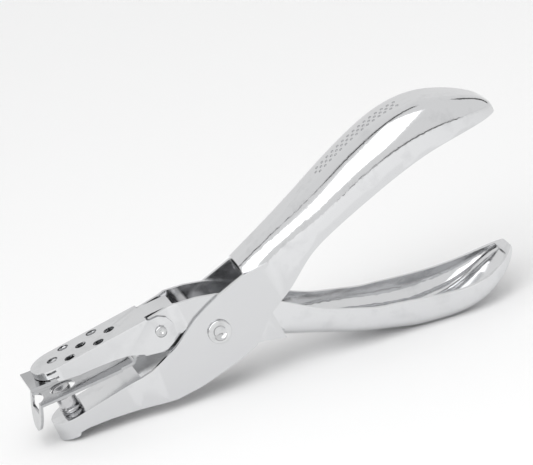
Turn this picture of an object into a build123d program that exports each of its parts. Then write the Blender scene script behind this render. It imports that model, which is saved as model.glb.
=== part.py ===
from build123d import *
import math
import os

os.makedirs("parts", exist_ok=True)

# Single-hole hand punch, resting on its lower handle and lower jaw. Millimetres, +Z up.
# The jaws point along -X, the handles along +X, and Y is across the tool.

# Resting pose: where the main pivot is, and how far the nose dips.
pivot_x = -19.9
pivot_z = 19.56
nose_dip_deg = 10.4

# Sheet and widths (half widths are measured from the middle plane).
sheet = 1.2
thin_sheet = 0.8
strip_thickness = 0.9
ear_half = 9.05
inner_wall_half = 7.7
upper_jaw_half = 6.6
lower_jaw_half = 7.5
cover_half = 7.55
tongue_half = 4.6

# Punch and die.
pin_radius = 3.0
pin_x = -49.0
pin_lean_deg = 3.53
pin_height = 7.7
pin_foot_radius = 2.0
die_hole_radius = 3.7
stripper_hole_radius = 4.1

# Rivets and pivots, in the tool's own frame (X back, Z up, zero at the main pivot).
pivot_radius = 2.5
pivot_head_radius = 3.65
head_gap = 0.15
running_gap = 0.05
hinge_x = -15.5
hinge_z = 8.3
hinge_radius = 1.1
hinge_head_radius = 1.7
spacer_x = -5.0
spacer_z = 10.3
spacer_radius = 1.6

tilt = math.radians(nose_dip_deg)
back_axis = (math.cos(tilt), 0, math.sin(tilt))
up_axis = (-math.sin(tilt), 0, math.cos(tilt))
centre = (pivot_x, 0, pivot_z)
# SIDE shows the tool's profile, PLAN shows it from above.
SIDE = Plane(origin=centre, x_dir=back_axis, z_dir=(0, -1, 0))
PLAN = Plane(origin=centre, x_dir=back_axis, z_dir=up_axis)


def inset_points(points, distance):
    """Profile points moved square to their curve: down for a positive distance, up for a negative one."""
    moved = []
    for i, (x, z) in enumerate(points):
        x0, z0 = points[max(i - 1, 0)]
        x1, z1 = points[min(i + 1, len(points) - 1)]
        length = math.hypot(x1 - x0, z1 - z0)
        moved.append((x + distance * (z1 - z0) / length, z - distance * (x1 - x0) / length))
    return moved


def cross_bar(x, z, radius, low, high):
    """A round bar across the tool, from Y = low to Y = high, at a point of the profile."""
    with BuildPart(mode=Mode.PRIVATE) as bar:
        with BuildSketch(SIDE.offset(-high)):
            with Locations((x, z)):
                Circle(radius)
        extrude(amount=high - low)
    return bar.part


def post(plane, x, y, radius, low, high):
    """A round bar standing on a plane, from low to high above it."""
    with BuildPart(mode=Mode.PRIVATE) as bar:
        with BuildSketch(plane.offset(low)):
            with Locations((x, y)):
                Circle(radius)
        extrude(amount=high - low)
    return bar.part


def plate(points, low, high):
    """A flat-sided block with the given profile, from Y = low to Y = high."""
    with BuildPart(mode=Mode.PRIVATE) as block:
        with BuildSketch(SIDE.offset(-high)):
            with BuildLine():
                Polyline(*points, close=True)
            make_face()
        extrude(amount=high - low)
    return block.part


def walls_plan(nose, front_half, bend, back, back_half, inset):
    """Outline of jaw and ears from above: round nose, straight jaw, outward bend, straight ears."""
    front = front_half - inset
    wide = back_half - inset
    with BuildPart(mode=Mode.PRIVATE) as block:
        with BuildSketch(PLAN.offset(-45)):
            with BuildLine():
                ThreePointArc((nose, -front), (nose - front, 0), (nose, front))
                Line((nose, front), (bend[0], front))
                Spline((bend[0], front), (bend[1], wide), tangents=((1, 0), (1, 0)))
                Polyline((bend[1], wide), (back, wide), (back, -wide), (bend[1], -wide))
                Spline((bend[1], -wide), (bend[0], -front), tangents=((-1, 0), (-1, 0)))
                Line((bend[0], -front), (nose, -front))
            make_face()
        extrude(amount=90)
    return block.part


def handle_body(stations, inset, openness):
    """Spoon-ended handle lofted through cross-sections: (x, crown, rim, half width).
    The crown corners are rounded; the rim side is flat and moved out by openness."""
    faces = []
    for x, crown, rim, half in stations:
        sign = 1 if crown > rim else -1
        top = crown - sign * inset
        low = rim - sign * openness
        wide = half - inset
        round_off = min(wide * 0.72, (crown - rim) * sign * 0.62)
        mid = round_off * (1 - math.sqrt(0.5))
        station = Plane(origin=PLAN.from_local_coords(Vector(x, 0, 0)), x_dir=(0, 1, 0), z_dir=back_axis)
        with BuildSketch(station, mode=Mode.PRIVATE) as section:
            with BuildLine():
                shoulder = top - sign * round_off
                Line((-wide, low), (-wide, shoulder))
                ThreePointArc((-wide, shoulder), (mid - wide, top - sign * mid), (round_off - wide, top))
                Line((round_off - wide, top), (wide - round_off, top))
                ThreePointArc((wide - round_off, top), (wide - mid, top - sign * mid), (wide, shoulder))
                Line((wide, shoulder), (wide, low))
                Line((wide, low), (-wide, low))
            make_face()
        faces.append(section.sketch.faces()[0])
    with BuildPart(mode=Mode.PRIVATE) as body:
        loft(faces)
    return body.part


# ---------------------------------------------------------------- punch lever
# One pressing, open underneath: upper handle, two ears at the pivot, lower jaw.
# Handle sections: distance back, height of the crown, height of the rim, half width.
upper_handle = [
    (14, 14.9, -3.6, 9.05),
    (20, 16.9, -1.0, 9.05),
    (26, 18.9, 2.0, 9.3),
    (34, 21.6, 7.7, 10.3),
    (42, 24.4, 11.3, 11.4),
    (50, 27.4, 13.7, 12.0),
    (60, 30.8, 16.3, 12.6),
    (70, 33.2, 18.6, 13.3),
    (79, 33.8, 19.9, 13.4),
    (87, 32.5, 20.0, 12.6),
    (94, 29.6, 19.5, 10.8),
    (99, 26.7, 18.9, 8.5),
    (102.3, 24.0, 18.4, 5.9),
    (104.3, 21.0, 18.0, 3.0),
]
lower_jaw_and_ears = [
    (-56.2, -3.5),
    (-27, -1.7),
    (-23.3, -1.1),
    (-14.2, 1.9),
    (-12, 3.0),
    (-9, 4.8),
    (-4.9, 7.1),
    (0, 8.9),
    (4.3, 10.2),
    (14, 12.2),
    (22, 12.2),
    (24.4, 1.0),
    (20.5, -1.0),
    (15.6, -3.4),
    (12.2, -6.6),
    (8.1, -9.9),
    (3, -11.1),
    (-4, -12.1),
    (-12, -13.0),
    (-19.8, -12.9),
    (-30, -10.9),
    (-39.9, -8.9),
    (-47.4, -7.9),
    (-50.2, -8.0),
    (-50.8, -9.0),
    (-56.2, -9.4),
]
lower_jaw_hollow = [
    (-60, -5.0),
    (-27, -2.9),
    (-27, 30),
    (13.9, 30),
    (13.9, 11.5),
    (40, 11.5),
    (40, -40),
    (-60, -40),
]

pin_lean = math.radians(pin_lean_deg)
pin_foot_point = PLAN.from_local_coords(Vector(pin_x, 0, -3.04))
pin_above = PLAN.from_local_coords(Vector(pin_x - math.sin(pin_lean), 0, math.cos(pin_lean) - 3.04))
pin_foot = Plane(origin=pin_foot_point, x_dir=(0, 1, 0), z_dir=pin_above - pin_foot_point)

with BuildPart() as punch_lever:
    add(plate(lower_jaw_and_ears, -20, 20))
    add(walls_plan(-48.7, lower_jaw_half, (-33, -21), 60, ear_half, 0), mode=Mode.INTERSECT)
    with BuildPart(mode=Mode.PRIVATE) as jaw_hollow:
        add(plate(lower_jaw_hollow, -20, 20))
        add(walls_plan(-48.7, lower_jaw_half, (-33, -21), 60, ear_half, sheet), mode=Mode.INTERSECT)
    add(jaw_hollow.part, mode=Mode.SUBTRACT)
    with BuildPart(mode=Mode.PRIVATE) as handle_shell:
        add(handle_body(upper_handle, 0, 0))
        inner = [(x - (0.4 if x > 90 else 0), c, r, h) for x, c, r, h in upper_handle[:-1]]
        inner[0] = (13, 14.6, -3.6, 9.05)
        add(handle_body(inner, sheet, 8), mode=Mode.SUBTRACT)
    add(handle_shell.part)
    add(cross_bar(0, 0, pivot_radius + running_gap, -20, 20), mode=Mode.SUBTRACT)
    add(post(pin_foot, 0, 0, pin_foot_radius, -5, 5), mode=Mode.SUBTRACT)
punch_lever.part.label = "punch_lever"
export_step(punch_lever.part, "parts/punch_lever.step")

# ---------------------------------------------------------------- punch pin
with BuildPart() as punch_pin:
    with BuildSketch(pin_foot):
        Circle(pin_radius + 0.25)
    extrude(amount=1.6)
    with BuildSketch(pin_foot.offset(1.6)):
        Circle(pin_radius)
    extrude(amount=pin_height - 1.6)
    with BuildSketch(pin_foot.offset(2.0)):
        Circle(pin_radius)
        Circle(pin_radius - 0.12, mode=Mode.SUBTRACT)
    extrude(amount=0.2, mode=Mode.SUBTRACT)
    with BuildSketch(pin_foot.offset(5.2)):
        Circle(pin_radius)
        Circle(pin_radius - 0.12, mode=Mode.SUBTRACT)
    extrude(amount=0.2, mode=Mode.SUBTRACT)
    with BuildSketch(pin_foot):
        Circle(pin_foot_radius)
    extrude(amount=-1.9)
    with BuildSketch(pin_foot.offset(-1.3)):
        Circle(pin_foot_radius + 0.9)
    extrude(amount=-0.6)
    with Locations(pin_foot.offset(pin_height)):
        Cone(0.0, 2.4, 0.9, align=(Align.CENTER, Align.CENTER, Align.MAX), mode=Mode.SUBTRACT)
punch_pin.part.label = "punch_pin"
export_step(punch_pin.part, "parts/punch_pin.step")

# ---------------------------------------------------------------- die lever
# One pressing, open on top: lower handle, inner walls at the pivot, walls of the upper jaw.
lower_handle = [
    (11, -10.2, 5.0, 7.65),
    (16, -12.1, 1.9, 7.65),
    (21, -14.7, -2.0, 7.7),
    (25, -16.7, -5.1, 8.3),
    (29, -18.7, -8.1, 9.2),
    (35, -21.4, -11.6, 10.4),
    (42, -24.4, -14.9, 11.5),
    (50, -27.7, -17.9, 12.0),
    (58, -30.4, -20.4, 12.5),
    (66, -31.8, -22.7, 13.1),
    (73, -31.9, -24.2, 13.3),
    (80, -30.4, -24.7, 12.2),
    (85.5, -28.2, -24.2, 9.8),
    (89.3, -26.2, -23.4, 6.8),
    (91.6, -24.6, -22.7, 3.4),
]
upper_jaw_and_walls = [
    (-60, 12.75),
    (-17.4, 12.75),
    (-17.2, 13.4),
    (-8.6, 13.9),
    (-1.9, 12.5),
    (4.1, 10.4),
    (9, 7.6),
    (13, 4.6),
    (16.6, 1.4),
    (17.5, -12.6),
    (11, -10.2),
    (6, -9.2),
    (0, -8.6),
    (-5, -7.6),
    (-9.5, -5.0),
    (-13.5, 0.6),
    (-19.5, 2.4),
    (-22.6, 3.2),
    (-23.6, 5.2),
    (-24.4, 7.1),
    (-60, 12.12),
]
upper_jaw_hollow = [(-70, 40), (30, 40), (30, -40), (-70, -40)]

with BuildPart() as die_lever:
    add(plate(upper_jaw_and_walls, -20, 20))
    add(walls_plan(-47.0, upper_jaw_half, (-10.9, -7.2), 17.6, inner_wall_half, 0), mode=Mode.INTERSECT)
    with BuildPart(mode=Mode.PRIVATE) as wall_gap:
        add(plate(upper_jaw_hollow, -20, 20))
        add(walls_plan(-47.0, upper_jaw_half, (-10.9, -7.2), 60, inner_wall_half, sheet), mode=Mode.INTERSECT)
        with BuildSketch(PLAN.offset(-45)):
            with Locations((-55, 0)):
                Rectangle(10, 8)
        extrude(amount=90)
    add(wall_gap.part, mode=Mode.SUBTRACT)
    with BuildPart(mode=Mode.PRIVATE) as handle_shell_low:
        add(handle_body(lower_handle, 0, 0))
        inner = [(x - (0.4 if x > 80 else 0), c, r, h) for x, c, r, h in lower_handle[:-1]]
        inner[0] = (10, -9.9, 5.0, 7.7)
        add(handle_body(inner, sheet, 8), mode=Mode.SUBTRACT)
    add(handle_shell_low.part)
    add(cross_bar(0, 0, pivot_radius, -20, 20), mode=Mode.SUBTRACT)
    add(cross_bar(hinge_x, hinge_z, hinge_radius, -20, 20), mode=Mode.SUBTRACT)
die_lever.part.label = "die_lever"
export_step(die_lever.part, "parts/die_lever.step")

# ---------------------------------------------------------------- die and stripper strip
# One U-shaped strip: die plate above, stripper below, bend at the back of the throat, flap in front.
strip_front = (-57.2, 5.2)
strip_kink = (-46.7, 4.25)
strip_back = (-28.2, 2.95)
bend_centre = (-27.8, 5.02)
bend_radius = 2.08
die_back = (-28.0, 7.1)
die_front = (-58.0, 11.33)
flap_end = (-60.7, -3.4)
narrow_half = 6.3
throat_bend = [
    (
        bend_centre[0] + bend_radius * math.cos(math.radians(angle)),
        bend_centre[1] + bend_radius * math.sin(math.radians(angle)),
    )
    for angle in range(-75, 90, 15)
]


def sheet_run(points, half_width):
    """A run of strip: the centre line thickened both ways, as wide as asked."""
    up = inset_points(points, -strip_thickness / 2)
    down = inset_points(points, strip_thickness / 2)
    return plate(up + down[::-1], -half_width, half_width)


strip_path = [flap_end, strip_front, strip_kink, strip_back, *throat_bend, die_back, die_front]
die_side = [(-51.4, 7.4), (-51.4, 14), (-20, 14), (-20, -1), (-31.0, -1), (-31.0, 5.4)]

with BuildPart() as die_strip:
    add(sheet_run(strip_path, lower_jaw_half))
    # Between the cover's side walls the strip is narrower.
    add(plate(die_side, narrow_half, 10), mode=Mode.SUBTRACT)
    add(plate(die_side, -10, -narrow_half), mode=Mode.SUBTRACT)
    # The flap in front is a rounded tongue.
    with BuildPart(mode=Mode.PRIVATE) as flap_waste:
        add(plate([(-70, -8), (-70, 3.4), (-56.6, 3.4), (-56.6, -8)], -12, 12))
        flap_plane = Plane(origin=PLAN.from_local_coords(Vector(-75, 0, 0)), x_dir=(0, 1, 0), z_dir=back_axis)
        with BuildPart(mode=Mode.PRIVATE) as tongue:
            with BuildSketch(flap_plane):
                with Locations((0, 3.4)):
                    Ellipse(lower_jaw_half, 6.9)
            extrude(amount=30)
        add(tongue.part, mode=Mode.SUBTRACT)
    add(flap_waste.part, mode=Mode.SUBTRACT)
    # Sight notch in the stripper's front edge.
    with BuildPart(mode=Mode.PRIVATE) as sight_notch:
        with BuildSketch(PLAN.offset(2.2)):
            with Locations((-57.6, 0)):
                Ellipse(2.6, 4.8)
        extrude(amount=5.5)
    add(sight_notch.part, mode=Mode.SUBTRACT)
    add(post(PLAN, pin_x + 0.25, 0, stripper_hole_radius, 0, 7), mode=Mode.SUBTRACT)
    add(post(PLAN, pin_x - 0.15, 0, die_hole_radius, 8, 14), mode=Mode.SUBTRACT)
die_strip.part.label = "die_strip"
export_step(die_strip.part, "parts/die_strip.step")

# ---------------------------------------------------------------- chip cover
cover_top = 13.8
cover_nose = -47.4
cover_side = [
    (-56, cover_top),
    (-17.9, cover_top),
    (-17.6, 13.1),
    (-14.4, 12.9),
    (-12.2, 11.4),
    (-11.1, 8.8),
    (-11.5, 5.8),
    (-13.3, 3.4),
    (-16.0, 2.2),
    (-19.5, 2.7),
    (-27.3, 6.3),
    (-31.7, 7.2),
    (-38, 8.0),
    (-43, 8.4),
    (-49.3, 9.7),
    (-49.7, 10.85),
    (-56, 11.75),
]
hole_radius = 1.75
hole_step_x = 4.8
hole_step_y = 4.87
hole_centre_x = -38.2
cover_holes = [(hole_centre_x + 2 * hole_step_x * k, 0) for k in (-1, 0, 1)]
cover_holes += [(hole_centre_x + hole_step_x * k, hole_step_y * m) for k in (-1, 1) for m in (-1, 1)]

with BuildPart() as chip_cover:
    add(plate(cover_side, -20, 20))
    add(walls_plan(cover_nose, cover_half, (-8, -7), 0, cover_half, 0), mode=Mode.INTERSECT)
    with BuildPart(mode=Mode.PRIVATE) as cover_room:
        inside_top = cover_top - thin_sheet
        room_side = [(-60, inside_top), (-17.9, inside_top), (-17.9, 40), (0, 40), (0, -9), (-60, -9)]
        add(plate(room_side, -20, 20))
        add(walls_plan(cover_nose, cover_half, (-8, -7), 5, cover_half, thin_sheet), mode=Mode.INTERSECT)
    add(cover_room.part, mode=Mode.SUBTRACT)
    add(
        plate(
            [
                (-19, cover_top),
                (-19, cover_top - thin_sheet),
                (-16, cover_top - thin_sheet),
                (-8.8, cover_top - thin_sheet - 0.5),
                (-8.6, cover_top - 0.5),
                (-16, cover_top),
            ],
            -tongue_half,
            tongue_half,
        )
    )
    for x, y in cover_holes:
        add(post(PLAN, x, y, hole_radius, cover_top - 3, cover_top + 2), mode=Mode.SUBTRACT)
    # Relief slots where the round nose meets the side walls.
    for slot_z in (12.9, 10.9):
        front = [(-51.6, slot_z + 0.25), (-51.6, slot_z - 0.45)]
        slot_side = front + [(-48.6, slot_z - 0.2), (-48.6, slot_z + 0.5)]
        add(plate(slot_side, -9, 9), mode=Mode.SUBTRACT)
    add(cross_bar(hinge_x, hinge_z, hinge_radius + running_gap, -20, 20), mode=Mode.SUBTRACT)
chip_cover.part.label = "chip_cover"
export_step(chip_cover.part, "parts/chip_cover.step")

# ---------------------------------------------------------------- rivets, spacer, bush
with BuildPart() as pivot_rivet:
    add(cross_bar(0, 0, pivot_radius, -ear_half - head_gap, ear_half + head_gap))
    add(cross_bar(0, 0, pivot_head_radius, -ear_half - head_gap - 0.9, -ear_half - head_gap))
    add(cross_bar(0, 0, pivot_head_radius, ear_half + head_gap, ear_half + head_gap + 0.9))
    rims = [e for e in pivot_rivet.edges() if abs(abs(e.center().Y) - (ear_half + head_gap + 0.9)) < 0.01]
    fillet(rims, 0.35)
    for side in (-1, 1):
        face_y = side * (ear_half + head_gap + 0.9)
        dish = Plane(origin=(pivot_x, face_y, pivot_z), x_dir=(1, 0, 0), z_dir=(0, side, 0))
        with Locations(dish):
            Cone(1.5, 2.25, 0.7, align=(Align.CENTER, Align.CENTER, Align.MAX), mode=Mode.SUBTRACT)
pivot_rivet.part.label = "pivot_rivet"
export_step(pivot_rivet.part, "parts/pivot_rivet.step")

with BuildPart() as cover_rivets:
    for side in (-1, 1):
        inner = upper_jaw_half - sheet - 0.5
        spans = [
            (hinge_head_radius, inner, inner + 0.5),
            (hinge_radius, inner, cover_half + 0.1),
            (hinge_head_radius, cover_half + 0.1, cover_half + 0.65),
        ]
        for radius, near, far in spans:
            low, high = sorted((side * near, side * far))
            add(cross_bar(hinge_x, hinge_z, radius, low, high))
        spot = PLAN.from_local_coords(Vector(hinge_x, side * (cover_half + 0.65), hinge_z))
        with Locations(Plane(origin=spot, x_dir=(1, 0, 0), z_dir=(0, side, 0))):
            Cone(0.3, 0.9, 0.4, align=(Align.CENTER, Align.CENTER, Align.MAX), mode=Mode.SUBTRACT)
cover_rivets.part.label = "cover_rivets"
export_step(cover_rivets.part, "parts/cover_rivets.step")

wall_gap_half = inner_wall_half - sheet
with BuildPart() as spacer_tube:
    add(cross_bar(spacer_x, spacer_z, spacer_radius, -wall_gap_half, wall_gap_half))
    add(cross_bar(spacer_x, spacer_z, spacer_radius - 0.7, -20, 20), mode=Mode.SUBTRACT)
spacer_tube.part.label = "spacer_tube"
export_step(spacer_tube.part, "parts/spacer_tube.step")

with BuildPart() as spring_bush:
    add(cross_bar(0, 0, 3.4, -wall_gap_half, wall_gap_half))
    add(cross_bar(0, 0, pivot_radius + 0.02, -20, 20), mode=Mode.SUBTRACT)
spring_bush.part.label = "spring_bush"
export_step(spring_bush.part, "parts/spring_bush.step")

# ---------------------------------------------------------------- handle spring
# Torsion spring: coil round the bush, one leg under each handle.
wire_radius = 0.7
coil_radius = 4.6
coil_pitch = 1.75
coil_turns = 5.5
coil_half = coil_pitch * coil_turns / 2


def spring_leg(start, end):
    """A straight leg of round wire with a ball at its start, where it meets the coil."""
    with BuildPart(mode=Mode.PRIVATE) as leg:
        way = end - start
        with BuildSketch(Plane(origin=start, z_dir=way)):
            Circle(wire_radius)
        extrude(amount=way.length)
        with Locations(Location(start)):
            Sphere(wire_radius)
    return leg.part


with BuildPart() as handle_spring:
    spring_plane = Plane(origin=(pivot_x, -coil_half, pivot_z), x_dir=up_axis, z_dir=(0, 1, 0))
    coil_path = spring_plane.location * Helix(coil_pitch, coil_pitch * coil_turns, coil_radius)
    with BuildSketch(Plane(origin=coil_path @ 0, z_dir=coil_path % 0)):
        Circle(wire_radius)
    sweep(path=coil_path, is_frenet=True)
    add(spring_leg(coil_path @ 0, PLAN.from_local_coords(Vector(23.0, -coil_half + 1.6, 10.5))))
    add(spring_leg(coil_path @ 1, PLAN.from_local_coords(Vector(23.0, coil_half - 1.6, -9.5))))
handle_spring.part.label = "handle_spring"
export_step(handle_spring.part, "parts/handle_spring.step")
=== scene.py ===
# %% [markdown]
# # A chromed single-hole hand punch
# The tool is made of pressed steel sheet, nickel and chrome plated. Its real sheet edges, rivets and
# pivots are already fixed by the CAD frame, so this script loads that frame, softens the cut edges the way a
# plating shop leaves them, adds the embossed grip dots, and gives every piece its finish.

import math

import bmesh
import bpy
from mathutils import Matrix, Vector
from mathutils.bvhtree import BVHTree


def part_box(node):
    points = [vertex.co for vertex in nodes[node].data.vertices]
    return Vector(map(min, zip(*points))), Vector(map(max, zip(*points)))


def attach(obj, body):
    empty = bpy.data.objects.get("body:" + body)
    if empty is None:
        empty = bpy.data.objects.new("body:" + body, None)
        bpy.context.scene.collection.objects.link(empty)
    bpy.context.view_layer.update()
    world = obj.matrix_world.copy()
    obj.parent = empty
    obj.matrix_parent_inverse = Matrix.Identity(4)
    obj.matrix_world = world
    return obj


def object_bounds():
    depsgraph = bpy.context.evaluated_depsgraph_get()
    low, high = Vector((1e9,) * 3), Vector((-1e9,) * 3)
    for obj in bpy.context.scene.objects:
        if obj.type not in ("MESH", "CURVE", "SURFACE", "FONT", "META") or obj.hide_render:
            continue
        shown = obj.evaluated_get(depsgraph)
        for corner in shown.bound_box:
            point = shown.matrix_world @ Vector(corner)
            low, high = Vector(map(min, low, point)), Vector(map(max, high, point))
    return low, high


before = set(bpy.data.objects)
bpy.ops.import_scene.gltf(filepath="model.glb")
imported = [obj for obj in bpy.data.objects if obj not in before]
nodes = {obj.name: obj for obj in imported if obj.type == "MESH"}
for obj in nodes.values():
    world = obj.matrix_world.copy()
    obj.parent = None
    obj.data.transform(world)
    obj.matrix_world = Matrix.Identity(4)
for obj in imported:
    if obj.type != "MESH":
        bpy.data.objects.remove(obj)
cad_low, cad_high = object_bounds()
MM = 0.001
length_and_height = [round(cad_high[axis] - cad_low[axis], 4) for axis in (0, 2)]
print("frame:", len(nodes), "pieces,", length_and_height)

# %% [markdown]
# The tool rests nose down, so its own back-to-front line is tipped against the floor. Two small helpers turn
# a direction or a place in the tool's own frame (back, across, up, from the main pivot) into the shared one.

# %% The tool's own axes
NOSE_DIP = math.radians(10.4)
rivet_low, rivet_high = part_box("pivot_rivet")
PIVOT = (Vector(rivet_low) + Vector(rivet_high)) / 2
BACK = Vector((math.cos(NOSE_DIP), 0, math.sin(NOSE_DIP)))
ACROSS = Vector((0, 1, 0))
UP = Vector((-math.sin(NOSE_DIP), 0, math.cos(NOSE_DIP)))


def tool_vector(back, across, up):
    """A direction given along the tool's own axes."""
    return BACK * back + ACROSS * across + UP * up


def tool_point(back, across, up):
    """A place in millimetres from the main pivot, along the tool's own axes."""
    return PIVOT + tool_vector(back, across, up) * MM


print("pivot at", [round(v, 4) for v in PIVOT])

# %% [markdown]
# Plated steel is nearly a mirror, but never a perfect one. Buffing leaves very fine lines along the work,
# handling leaves faint cloudy marks, and plating thins and dulls a little at edges. Each of these is a small
# node group, built once, that puts out a mask or a height, and every finish mixes them in its own strength.

# %% A helper for node groups


def new_group(name, inputs, outputs):
    """An empty shader group with float inputs (name, value) and float outputs."""
    group = bpy.data.node_groups.new(name, "ShaderNodeTree")
    for label, value in inputs:
        socket = group.interface.new_socket(label, in_out="INPUT", socket_type="NodeSocketFloat")
        socket.default_value = value
    for label in outputs:
        group.interface.new_socket(label, in_out="OUTPUT", socket_type="NodeSocketFloat")
    entry = group.nodes.new("NodeGroupInput")
    leave = group.nodes.new("NodeGroupOutput")
    return group, entry, leave


def math_node(tree, operation, a, b):
    """A Math node whose two values are sockets or plain numbers."""
    node = tree.nodes.new("ShaderNodeMath")
    node.operation = operation
    for socket, value in zip(node.inputs, (a, b)):
        if isinstance(value, (int, float)):
            socket.default_value = value
        else:
            tree.links.new(value, socket)
    return node.outputs[0]


# %% Buffing lines


def make_buffing_group():
    """Fine lines along the tool, left by the polishing wheel."""
    group, entry, leave = new_group("buffing_lines", [("Fineness", 1.0)], ["Lines"])
    place = group.nodes.new("ShaderNodeTexCoord")
    stretch = group.nodes.new("ShaderNodeMapping")
    stretch.inputs["Rotation"].default_value = (0, NOSE_DIP, 0)
    stretch.inputs["Scale"].default_value = (60, 2600, 2600)
    group.links.new(place.outputs["Object"], stretch.inputs["Vector"])
    noise = group.nodes.new("ShaderNodeTexNoise")
    noise.inputs["Detail"].default_value = 3.0
    group.links.new(stretch.outputs["Vector"], noise.inputs["Vector"])
    group.links.new(entry.outputs["Fineness"], noise.inputs["Scale"])
    group.links.new(noise.outputs["Fac"], leave.inputs["Lines"])
    return group


buffing = make_buffing_group()

# %% Cloudy handling marks


def make_handling_group():
    """Soft patches a few millimetres wide, where fingers have dulled the shine."""
    group, entry, leave = new_group("handling_marks", [("Size", 140.0), ("Cover", 0.55)], ["Marks"])
    place = group.nodes.new("ShaderNodeTexCoord")
    noise = group.nodes.new("ShaderNodeTexNoise")
    noise.inputs["Detail"].default_value = 5.0
    noise.inputs["Roughness"].default_value = 0.62
    group.links.new(place.outputs["Object"], noise.inputs["Vector"])
    group.links.new(entry.outputs["Size"], noise.inputs["Scale"])
    above = math_node(group, "SUBTRACT", noise.outputs["Fac"], entry.outputs["Cover"])
    strong = math_node(group, "MULTIPLY", above, 6.0)
    clamp = group.nodes.new("ShaderNodeClamp")
    group.links.new(strong, clamp.inputs["Value"])
    group.links.new(clamp.outputs["Result"], leave.inputs["Marks"])
    return group


handling = make_handling_group()

# %% Worn edges


def make_edge_group():
    """Brighter, duller rims where the plating is thin, from the curvature of the surface."""
    group, entry, leave = new_group("worn_edges", [("Sharpness", 14.0)], ["Edges"])
    shape = group.nodes.new("ShaderNodeNewGeometry")
    lift = math_node(group, "SUBTRACT", shape.outputs["Pointiness"], 0.53)
    strong = math_node(group, "MULTIPLY", lift, entry.outputs["Sharpness"])
    clamp = group.nodes.new("ShaderNodeClamp")
    group.links.new(strong, clamp.inputs["Value"])
    group.links.new(clamp.outputs["Result"], leave.inputs["Edges"])
    return group


edges = make_edge_group()
print("node groups:", [g.name for g in (buffing, handling, edges)])

# %% [markdown]
# All the finishes here are bare or plated metal, so one recipe serves, with the colour, the shine and the
# strength of each mark changed from piece to piece. Chrome is a little blue and very bright; the spring wire
# and the turned pin are plain steel, darker and less polished.

# %% The metal recipe


def place_group(tree, group, **values):
    """A group node inside a material, with its own values."""
    node = tree.nodes.new("ShaderNodeGroup")
    node.node_tree = group
    for label, value in values.items():
        node.inputs[label].default_value = value
    return node


def metal(name, bright, dull, roughness, spread, line_depth, mark_size=140.0):
    """Plated or bare metal: colour between bright and dull, shine broken by lines, marks and worn edges."""
    material = bpy.data.materials.new(name)
    material.use_nodes = True
    tree = material.node_tree
    shader = tree.nodes["Principled BSDF"]
    shader.inputs["Metallic"].default_value = 1.0
    lines = place_group(tree, buffing, Fineness=1.0)
    marks = place_group(tree, handling, Size=mark_size, Cover=0.52)
    rims = place_group(tree, edges, Sharpness=14.0)
    wear = math_node(tree, "MAXIMUM", marks.outputs["Marks"], rims.outputs["Edges"])
    colour = tree.nodes.new("ShaderNodeMix")
    colour.data_type = "RGBA"
    colour.inputs["A"].default_value = (*bright, 1)
    colour.inputs["B"].default_value = (*dull, 1)
    tree.links.new(wear, colour.inputs["Factor"])
    tree.links.new(colour.outputs["Result"], shader.inputs["Base Color"])
    grain = math_node(tree, "MULTIPLY", lines.outputs["Lines"], spread)
    cloud = math_node(tree, "MULTIPLY", wear, spread)
    shine = math_node(tree, "ADD", math_node(tree, "ADD", grain, cloud), roughness)
    tree.links.new(shine, shader.inputs["Roughness"])
    bump = tree.nodes.new("ShaderNodeBump")
    bump.inputs["Strength"].default_value = line_depth
    bump.inputs["Distance"].default_value = 0.00002
    tree.links.new(lines.outputs["Lines"], bump.inputs["Height"])
    tree.links.new(bump.outputs["Normal"], shader.inputs["Normal"])
    return material


chrome = metal("bright_chrome", (0.74, 0.745, 0.755), (0.68, 0.685, 0.695), 0.085, 0.06, 0.12)
# The grip dots are pressed from the same plated sheet as the handles. Their darker colour is painted shade
# that makes them stand out from the crown.
grip_plating_painted_shade = metal("grip_plating_painted_shade", (0.46, 0.465, 0.475), (0.38, 0.385, 0.395), 0.12, 0.08, 0.14)
lid_chrome = metal("satin_chrome", (0.72, 0.725, 0.735), (0.66, 0.665, 0.675), 0.12, 0.07, 0.14)
# The die strip is the same chrome plating as the levers. Its darker colour is painted shade, standing in for
# the dark reflections on its down-facing faces.
shaded_strip_plating = metal("strip_plating_painted_shade", (0.50, 0.505, 0.515), (0.44, 0.445, 0.455), 0.07, 0.06, 0.12)
rivet_chrome = metal("rivet_chrome", (0.70, 0.705, 0.71), (0.58, 0.585, 0.59), 0.08, 0.07, 0.15, 400.0)
turned_steel = metal("turned_steel", (0.60, 0.60, 0.61), (0.46, 0.46, 0.47), 0.14, 0.10, 0.30, 500.0)
spring_wire = metal("spring_wire", (0.42, 0.42, 0.43), (0.30, 0.30, 0.31), 0.24, 0.12, 0.30, 600.0)

finishes = {
    "punch_lever": chrome,
    "die_lever": chrome,
    "chip_cover": lid_chrome,
    "die_strip": shaded_strip_plating,
    "pivot_rivet": rivet_chrome,
    "cover_rivets": rivet_chrome,
    "punch_pin": turned_steel,
    "spacer_tube": turned_steel,
    "spring_bush": turned_steel,
    "handle_spring": spring_wire,
}
for name, finish in finishes.items():
    piece = nodes[name]
    piece.data.materials.clear()
    piece.data.materials.append(finish)
print("finished", len(finishes), "pieces")

# %% [markdown]
# Pressed sheet never has a knife edge: the shears leave a tiny radius, and plating rounds it more. A narrow
# bevel on the sharp edges alone catches a thin highlight, which is most of what makes sheet look like sheet.
# The curved handles are shaded smooth so that reflections run along them without a break.

# %% Round the cut edges
EDGE_RADIUS = {"punch_lever": 0.28, "die_lever": 0.28, "chip_cover": 0.18, "die_strip": 0.16}


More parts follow.
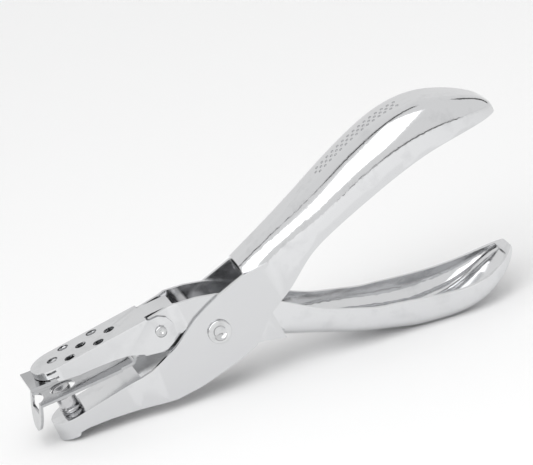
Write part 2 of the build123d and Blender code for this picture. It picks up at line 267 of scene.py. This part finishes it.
def soften(piece, radius):
    """Smooth shading and, where asked, a narrow bevel on the sharp edges only."""
    for face in piece.data.polygons:
        face.use_smooth = True
    weld = piece.modifiers.new("joined_faces", "WELD")
    weld.merge_threshold = 0.002 * MM
    if radius:
        bevel = piece.modifiers.new("cut_edges", "BEVEL")
        bevel.width = radius * MM
        bevel.segments = 3
        bevel.limit_method = "ANGLE"
        bevel.angle_limit = math.radians(40)
        bevel.harden_normals = True
        bevel.use_clamp_overlap = True
    flat = piece.modifiers.new("flat_faces", "WEIGHTED_NORMAL")
    flat.mode = "FACE_AREA_WITH_ANGLE"
    flat.weight = 90


for name, piece in nodes.items():
    soften(piece, EDGE_RADIUS.get(name, 0))

# %% [markdown]
# The handles carry a short band of raised dots, pressed into the crown so that a hand doesn't slip. Each dot
# is a low dome standing on the crown. The script drops a ray on the handle for every dot, so the band follows
# the crown's real curve however the handle is shaped. Dots that would stand above the handle's highest
# point, or below its lowest, are left out, so that the tool's outside size stays true.

# %% Embossed grip dots
DOT_RADIUS = 0.55
DOT_HEIGHT = 0.28
DOT_SINK = 0.05
DOT_PITCH = 2.1
ROW_GAP = 1.9
DOT_RINGS = 4
DOT_SIDES = 12


def handle_surface(piece):
    """A tree for finding the handle's surface, from its own mesh."""
    mesh = piece.data
    points = [v.co.copy() for v in mesh.vertices]
    return BVHTree.FromPolygons(points, [tuple(f.vertices) for f in mesh.polygons])


def add_dot(shape, spot, normal):
    """A low dome of DOT_RADIUS and DOT_HEIGHT standing on spot."""
    turn = normal.to_track_quat("Z", "Y").to_matrix()
    rings = []
    for ring in range(DOT_RINGS):
        angle = ring / DOT_RINGS * math.pi / 2
        radius = DOT_RADIUS * math.cos(angle) * MM
        height = (DOT_HEIGHT * math.sin(angle) - DOT_SINK) * MM
        row = []
        for side in range(DOT_SIDES):
            around = side / DOT_SIDES * 2 * math.pi
            local = Vector((radius * math.cos(around), radius * math.sin(around), height))
            row.append(shape.verts.new(spot + turn @ local))
        rings.append(row)
    top = shape.verts.new(spot + turn @ Vector((0, 0, (DOT_HEIGHT - DOT_SINK) * MM)))
    for low, high in zip(rings, rings[1:]):
        for side in range(DOT_SIDES):
            after = (side + 1) % DOT_SIDES
            shape.faces.new((low[side], low[after], high[after], high[side]))
    for side in range(DOT_SIDES):
        shape.faces.new((rings[-1][side], rings[-1][(side + 1) % DOT_SIDES], top))
    shape.faces.new(rings[0][::-1])


def grip_band(name, handle, body, first, last, from_up, rows):
    """Staggered rows of dots on a handle's crown, found from above or from below."""
    tree = handle_surface(nodes[handle])
    shape = bmesh.new()
    count = int((last - first) / DOT_PITCH)
    made = 0
    for k in range(count):
        for row in range(-rows, rows + 1):
            across = row * ROW_GAP
            along = first + (k + 0.5 * (row % 2)) * DOT_PITCH
            start = tool_point(along, across, from_up)
            aim = tool_vector(0, 0, -1 if from_up > 0 else 1)
            spot, normal, _, _ = tree.ray_cast(start, aim)
            if spot is None:
                continue
            if not cad_low[2] + DOT_HEIGHT * MM < spot.z < cad_high[2] - DOT_HEIGHT * MM:
                continue
            add_dot(shape, spot, normal)
            made += 1
    mesh = bpy.data.meshes.new(name)
    shape.to_mesh(mesh)
    shape.free()
    band = bpy.data.objects.new(name, mesh)
    bpy.context.scene.collection.objects.link(band)
    for face in mesh.polygons:
        face.use_smooth = True
    # The dots get the darker chrome: painted shade, so the embossing reads against the bright crown.
    mesh.materials.append(grip_plating_painted_shade)
    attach(band, body)
    print(name, made, "dots")
    return band


grip_band("upper_grip_dots", "punch_lever", "punch_side", 48, 84, 60, 1)
grip_band("lower_grip_dots", "die_lever", "die_side", 40, 74, -60, 1)

# %% [markdown]
# Chrome shows the room more than itself. A plain white room makes it look like plaster, so a real studio
# stands a few dark cards near it. Here the floor and the air are pale, two big soft lamps give the long
# highlights, and dark cards outside the picture give the dark streaks that say metal.

# %% Floor and air
floor_mesh = bpy.data.meshes.new("studio_floor")
FLOOR_HALF = 6.0
FLOOR_GAP = 0.00005
CORNER_SIGNS = [(-1, -1), (1, -1), (1, 1), (-1, 1)]
floor_level = cad_low[2] - FLOOR_GAP
corners = [(x * FLOOR_HALF, y * FLOOR_HALF, floor_level) for x, y in CORNER_SIGNS]
floor_mesh.from_pydata(corners, [], [(0, 1, 2, 3)])
floor = bpy.data.objects.new("studio_floor", floor_mesh)
bpy.context.scene.collection.objects.link(floor)
paper = bpy.data.materials.new("pale_paper")
paper.use_nodes = True
paper.node_tree.nodes["Principled BSDF"].inputs["Base Color"].default_value = (0.93, 0.93, 0.93, 1)
paper.node_tree.nodes["Principled BSDF"].inputs["Roughness"].default_value = 0.9
floor_mesh.materials.append(paper)

world = bpy.data.worlds.new("studio_air")
bpy.context.scene.world = world
world.use_nodes = True
world.node_tree.nodes["Background"].inputs["Color"].default_value = (1, 1, 1, 1)
world.node_tree.nodes["Background"].inputs["Strength"].default_value = 0.83
print("floor and air ready")

# %% Lamps and dark cards


def soft_lamp(name, place, target, size, power):
    """A square soft lamp facing the tool."""
    light = bpy.data.lights.new(name, "AREA")
    light.shape = "RECTANGLE"
    light.size, light.size_y = size
    light.energy = power
    lamp = bpy.data.objects.new(name, light)
    lamp.location = place
    lamp.rotation_euler = (target - Vector(place)).to_track_quat("-Z", "Y").to_euler()
    bpy.context.scene.collection.objects.link(lamp)
    return lamp


def card(name, place, target, size, grey):
    """A matt card that only reflections need to see."""
    half_w, half_h = size[0] / 2, size[1] / 2
    mesh = bpy.data.meshes.new(name)
    mesh.from_pydata([(x * half_w, y * half_h, 0) for x, y in CORNER_SIGNS], [], [(0, 1, 2, 3)])
    thing = bpy.data.objects.new(name, mesh)
    thing.location = place
    thing.rotation_euler = (target - Vector(place)).to_track_quat("-Z", "Y").to_euler()
    matt = bpy.data.materials.new(name + "_matt")
    matt.use_nodes = True
    matt.node_tree.nodes["Principled BSDF"].inputs["Base Color"].default_value = (grey, grey, grey, 1)
    matt.node_tree.nodes["Principled BSDF"].inputs["Roughness"].default_value = 1.0
    mesh.materials.append(matt)
    bpy.context.scene.collection.objects.link(thing)
    return thing


middle = (Vector(cad_low) + Vector(cad_high)) / 2
lamps = [
    soft_lamp("overhead_softbox", (-0.25, -0.45, 0.9), middle, (0.7, 1.4), 4.0),
    soft_lamp("left_softbox", (-0.8, -0.5, 0.5), middle, (0.5, 0.5), 1.2),
]
cards = [
    card("front_card", (-0.55, 0.10, 0.10), middle, (0.35, 0.3), 0.05),
    card("low_card", (0.25, -0.55, 0.03), middle, (0.6, 0.05), 0.08),
    card("rear_card", (0.55, 0.35, 0.30), middle, (0.10, 0.5), 0.04),
    card("top_card", (-0.12, 0.25, 0.75), middle, (0.7, 0.08), 0.05),
]
print(len(lamps), "lamps,", len(cards), "cards")

# %% [markdown]
# The camera looks from the near side, a little from the front and above, with a long lens so that the two
# handles keep their true proportions. It is rolled so that the tool rises to the right across the picture.

# %% Camera
FRAME_WIDTH_MM = 158.6
DISTANCE = 1.3
PIVOT_LEFT_OF_MIDDLE = 13.7
PIVOT_BELOW_MIDDLE = 29.7
SENSOR = 36
to_camera = tool_vector(-0.110, -0.928, 0.357).normalized()
picture_up = tool_vector(0.4727, 0.267, 0.840)
picture_right = picture_up.cross(to_camera).normalized()
picture_up = to_camera.cross(picture_right).normalized()
near_pivot = Vector((PIVOT.x, rivet_low[1], PIVOT.z))
aim_at = near_pivot + picture_right * PIVOT_LEFT_OF_MIDDLE * MM + picture_up * PIVOT_BELOW_MIDDLE * MM

lens = bpy.data.cameras.new("long_lens")
lens.sensor_width = SENSOR
lens.lens = SENSOR * DISTANCE / (FRAME_WIDTH_MM * MM)
lens.clip_end = 50
camera = bpy.data.objects.new("long_lens", lens)
turn = Matrix((picture_right, picture_up, to_camera)).transposed()
camera.matrix_world = Matrix.Translation(aim_at + to_camera * DISTANCE) @ turn.to_4x4()
bpy.context.scene.collection.objects.link(camera)
bpy.context.scene.camera = camera
bpy.context.scene.view_settings.view_transform = "Standard"
print("camera", [round(v, 3) for v in camera.location], "lens", round(lens.lens))
